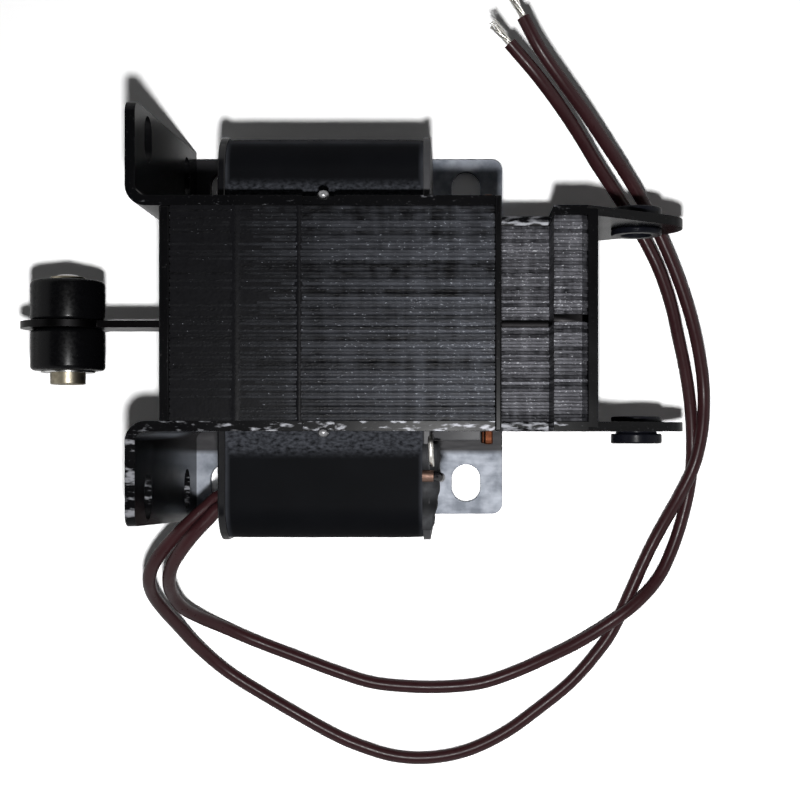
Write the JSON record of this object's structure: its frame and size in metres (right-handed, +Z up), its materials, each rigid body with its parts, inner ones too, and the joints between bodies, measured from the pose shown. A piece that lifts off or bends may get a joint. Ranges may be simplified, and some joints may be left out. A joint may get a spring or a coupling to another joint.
{
  "type": "push pull solenoid",
  "caption": "Open frame laminated AC solenoid with a T plunger that pulls by a clevis at one end and pushes by a rubber bumper at the other.",
  "frame": {"origin": "centre of the four-slot pattern on the underside of the base plate", "axes": "+X along the stroke towards the clevis end, +Y across the laminations towards the back side plate, +Z up from the base plate"},
  "size_m": [0.1243, 0.1421, 0.054],
  "materials": {
    "zinc_plate": "satin zinc plating with a cool tint",
    "rivet_steel": "plain steel, satin",
    "black_paint": "gloss black enamel",
    "yoke_laminations": "dark laminated edges with a fine line at each sheet",
    "plunger_laminations": "ground sheet edges, bright, with a fine line at each sheet",
    "copper": "bare copper, satin",
    "bobbin_nylon": "dark moulded nylon",
    "bush_nylon": "black moulded plastic, slight gloss",
    "coil_tape": "smooth black insulating tape",
    "bumper_rubber": "moulded rubber, dull",
    "pin_brass": "worn brass plating",
    "lead_pvc": "dark brown PVC, soft sheen",
    "tinned_strands": "twisted tinned copper strands"
  },
  "bodies": {
    "frame": {"base_plate": "zinc_plate", "base_screw_1": "rivet_steel", "base_screw_2": "rivet_steel", "base_screw_3": "rivet_steel", "base_screw_4": "rivet_steel", "side_plate_back": "black_paint", "side_plate_front": "black_paint", "yoke_stack_back": "yoke_laminations", "yoke_stack_front": "yoke_laminations", "centre_plate_upper": "yoke_laminations", "centre_plate_lower": "yoke_laminations", "stop_plate": "black_paint", "pole_plate_upper": "black_paint", "pole_plate_lower": "black_paint", "shading_ring_upper": "copper", "shading_ring_lower": "copper", "yoke_rivet_1": "rivet_steel", "yoke_rivet_2": "rivet_steel", "yoke_rivet_3": "rivet_steel", "yoke_rivet_4": "rivet_steel", "bobbin": "bobbin_nylon", "coil_winding": "copper", "joint_pad": "coil_tape", "coil_tape": "coil_tape", "lead_inner": "lead_pvc", "lead_outer": "lead_pvc", "strands_inner": "tinned_strands", "strands_outer": "tinned_strands"},
    "plunger": {"plunger_stack_back": "plunger_laminations", "plunger_stack_front": "plunger_laminations", "push_bar": "plunger_laminations", "clevis_plate_back": "black_paint", "clevis_plate_front": "black_paint", "ear_bush_back": "bush_nylon", "ear_bush_front": "bush_nylon", "plunger_rivet_1": "rivet_steel", "plunger_rivet_2": "rivet_steel", "plunger_rivet_3": "rivet_steel", "bumper_rubber_back": "bumper_rubber", "bumper_rubber_front": "bumper_rubber", "bumper_pin": "pin_brass"}
  },
  "joints": [
    {"name": "plunger_slide", "type": "slide", "parent": "frame", "child": "plunger", "axis": [1, 0, 0], "range_m": [-0.0087, 0.0146]}
  ]
}
